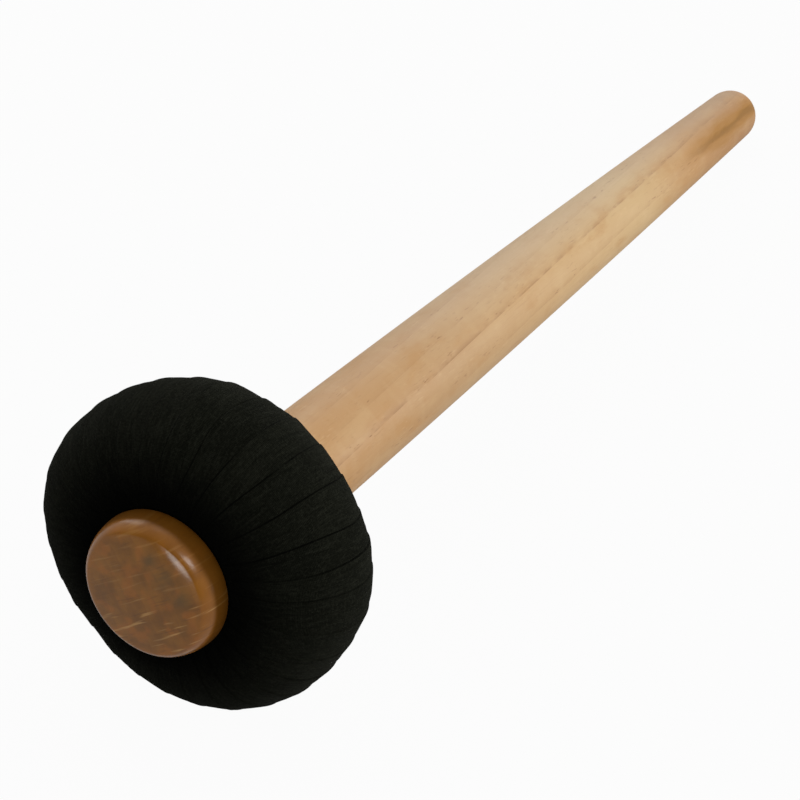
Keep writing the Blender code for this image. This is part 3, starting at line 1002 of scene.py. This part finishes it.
def knob_finish():
    wood = Finish("brown_wood", Specular_IOR_Level=0.06, Coat_Roughness=0.21)
    place = wood.own_place()
    across, around, along = wood_frame(wood, place, knob_ring_direction, knob_lean)
    clouds = wood.noise(place, knob_cloud_grain, seed=52.0, detail=4.0)
    color = wood.stain(wood.between(clouds, low=0.34, high=0.66), *face_tones)
    waver = wood.noise(place, knob_waver_grain, seed=51.0, detail=2.0)
    bend = wood.sum("DIVIDE", wood.sum("MULTIPLY", around, around), 2 * knob_pith)
    ring_place = wood.sum("ADD", bend, wood.sum("MULTIPLY_ADD", waver, knob_waver, across))
    ring_share = wood.sum("FRACT", wood.sum("DIVIDE", ring_place, knob_ring_width))
    late_wood = wood.sum("MULTIPLY", wood.sum("POWER", ring_share, 3.0), late_wood_share)
    color = wood.stain(late_wood, color, knob_ring_tone)
    flush = wood.noise(place, flush_grain, seed=57.0, detail=2.0)
    color = wood.stain(wood.patch(flush, low=0.48, high=0.66, share=0.45), color, flush_tone)
    flat_place = square_to_axis(wood, place)
    from_axis = distance_between(wood, flat_place)
    color = wood.stain(wood.patch(from_axis, *edge_tone_reach, share=0.45), color, edge_tone)

    ray_place = wood.node("CombineXYZ", {0: across, 1: around, 2: along}).outputs[0]
    rays = wood.noise(ray_place, ray_grain, seed=53.0, detail=1.5)
    lower = wood.between(around, *low_half)
    lower = wood.sum("MULTIPLY_ADD", lower, low_half_share, high_half_share)
    pale_rays = wood.sum("MULTIPLY", wood.patch(rays, low=0.57, high=0.70, share=0.75), lower)
    color = wood.stain(pale_rays, color, pale_ray)
    dark_rays = wood.noise(ray_place, dark_ray_grain, seed=54.0, detail=1.5)
    color = wood.stain(wood.patch(dark_rays, low=0.58, high=0.74, share=0.45), color, dark_ray)
    spotted = 0.0
    for right, below, reach in dark_spots:
        off = distance_between(wood, flat_place, (right, below, 0.0))
        spotted = wood.sum("MAXIMUM", spotted, wood.between(off, dark_spot_spread * reach, 0.0))
    ragged = wood.between(wood.noise(ray_place, dark_spot_grain, seed=55.0, detail=4.0), low=0.30, high=0.66)
    ragged = wood.sum("MULTIPLY_ADD", ragged, ragged_dark_spot_share, dark_spot_share)
    spotted = wood.sum("MULTIPLY", spotted, ragged)
    color = wood.stain(spotted, color, dark_spot_tone)

    flank = wood.between(along, *flank_reach)
    color = wood.stain(wood.sum("MULTIPLY", flank, flank_share), color, flank_tone)
    pores = wood.between(wood.noise(place, pore_grain, seed=56.0, detail=1.0), low=0.64, high=0.76)
    color = wood.stain(wood.sum("MULTIPLY", pores, pore_share), color, pore_tone)
    wood.feed(wood.shader.inputs["Base Color"], color)
    rough = wood.sum("MULTIPLY_ADD", pores, pore_roughness, face_roughness)
    rough = wood.sum("MULTIPLY_ADD", flank, flank_roughness, rough)
    wood.feed(wood.shader.inputs["Roughness"], rough)
    lacquer = wood.sum("MULTIPLY", wood.sum("SUBTRACT", 1.0, flank), lacquer_weight)
    wood.feed(wood.shader.inputs["Coat Weight"], lacquer)
    grain = wood.sum("SUBTRACT", rays, wood.sum("MULTIPLY", pores, pore_depth_share))
    wood.feed(wood.shader.inputs["Normal"], wood.relief(grain, ray_depth))
    return wood.material


fit_to_mallet("end_grain_knob", knob_mesh(), knob_finish(), "end_knob")


# Floor. A wide white sheet that the mallet lies on. The camera sees it nearly plain white,
# and it keeps a faint soft shadow of the mallet.

floor_size = 8.0
floor_steps = 4
paper_white = (0.38, 0.38, 0.38, 1.0)
plain_white = (1.0, 1.0, 1.0, 1.0)
plain_to_camera = 0.96
plain_in_reflections = 0.42


def floor_mesh():
    mesh = bpy.data.meshes.new("white_floor")
    side = numpy.linspace(-floor_size / 2, floor_size / 2, floor_steps + 1)
    places = [(x, y, 0.0) for y in side for x in side]
    across = floor_steps + 1
    faces = []
    for row in range(floor_steps):
        for column in range(floor_steps):
            corner = row * across + column
            faces.append((corner, corner + 1, corner + across + 1, corner + across))
    mesh.from_pydata(places, [], faces)
    return mesh


def floor_finish():
    paper = Finish("white_floor", Roughness=0.9, Specular_IOR_Level=0.0, Base_Color=paper_white)
    white = paper.node("Emission", {"Color": plain_white, "Strength": 1.0}).outputs[0]
    light_path = paper.node("LightPath").outputs
    share = paper.sum("MULTIPLY", light_path["Is Camera Ray"], plain_to_camera)
    share = paper.sum("MULTIPLY_ADD", light_path["Is Glossy Ray"], plain_in_reflections, share)
    mix = paper.node("MixShader", {0: share, 1: paper.shader.outputs[0], 2: white})
    paper.feed(paper.tree.nodes["Material Output"].inputs["Surface"], mix.outputs[0])
    return paper.material


floor = bpy.data.objects.new("white_floor", floor_mesh())
floor.data.materials.append(floor_finish())
bpy.context.scene.collection.objects.link(floor)


# Light. A white room, brighter behind the mallet than in front of it, with a long low lamp at its
# right, a wide high one behind its left, one overhead, and two small ones in front for the knob.

room_light = 0.50
room_slope = 0.46
room_darkest = 0.04

# Lamps: power in watts, width, height and place in metres. Each one looks at the mallet's middle.
lamps = [
    ("right_lamp", 8.6, 0.90, 0.22, Vector((1.05, 0.50, 0.13))),
    ("left_lamp", 8.4, 1.40, 1.00, Vector((-0.85, 0.80, 0.80))),
    ("overhead_lamp", 2.0, 1.00, 1.00, Vector((-0.10, 0.45, 1.40))),
    ("high_front_lamp", 2.6, 0.36, 0.24, Vector((0.74, -0.66, 0.90))),
    ("low_front_lamp", 1.5, 0.26, 0.15, Vector((0.06, -1.20, 0.24))),
]

room = bpy.data.worlds.new("white_room")
room.use_nodes = True
bpy.context.scene.world = room
room_nodes = room.node_tree.nodes


def room_value(operation, *values):
    node = room_nodes.new("ShaderNodeMath")
    node.operation = operation
    for socket, value in zip(node.inputs, values):
        if isinstance(value, bpy.types.NodeSocket):
            room.node_tree.links.new(value, socket)
        else:
            socket.default_value = value
    return node.outputs[0]


looking = room_nodes.new("ShaderNodeSeparateXYZ")
room.node_tree.links.new(room_nodes.new("ShaderNodeTexCoord").outputs["Generated"], looking.inputs[0])
slope = room_value("MULTIPLY_ADD", looking.outputs["Y"], room_slope, room_light)
slope = room_value("MAXIMUM", slope, room_darkest)
seen_by_camera = room_nodes.new("ShaderNodeLightPath").outputs["Is Camera Ray"]
unseen = room_value("SUBTRACT", 1.0, seen_by_camera)
strength = room_value("MULTIPLY_ADD", slope, unseen, seen_by_camera)
room.node_tree.links.new(strength, room_nodes["Background"].inputs["Strength"])
room_nodes["Background"].inputs["Color"].default_value = plain_white

for lamp_name, power, width, height, place in lamps:
    lamp_data = bpy.data.lights.new(lamp_name, "AREA")
    lamp_data.shape = "RECTANGLE"
    lamp_data.size = width
    lamp_data.size_y = height
    lamp_data.energy = power
    lamp = bpy.data.objects.new(lamp_name, lamp_data)
    lamp.location = place
    lamp.rotation_euler = (-place).to_track_quat("-Z", "Y").to_euler()
    bpy.context.scene.collection.objects.link(lamp)


# Camera. It looks down on the knob from the front right with a long lens. The head's middle
# stands at a known place in its view: to its right, above it and behind it.

camera_azimuth = math.radians(30.935)
camera_elevation = math.radians(37.129)
head_in_view = Vector((-55.83, -41.30, -869.86)) * MM
lens_length = 135.0
sensor_width = 36.0

view_right = Vector((math.cos(camera_azimuth), math.sin(camera_azimuth), 0.0))
view_front = Vector((math.sin(camera_azimuth), -math.cos(camera_azimuth), 0.0))
view_back = view_front * math.cos(camera_elevation) + Vector((0.0, 0.0, math.sin(camera_elevation)))
view_up = view_back.cross(view_right)
camera_turn = Matrix((view_right, view_up, view_back)).transposed()
camera_data = bpy.data.cameras.new("camera")
camera_data.lens = lens_length
camera_data.sensor_width = sensor_width
camera = bpy.data.objects.new("camera", camera_data)
camera_place = head_middle - camera_turn @ head_in_view
camera.matrix_world = Matrix.Translation(camera_place) @ camera_turn.to_4x4()
bpy.context.scene.collection.objects.link(camera)
bpy.context.scene.camera = camera
bpy.context.scene.view_settings.view_transform = "Standard"
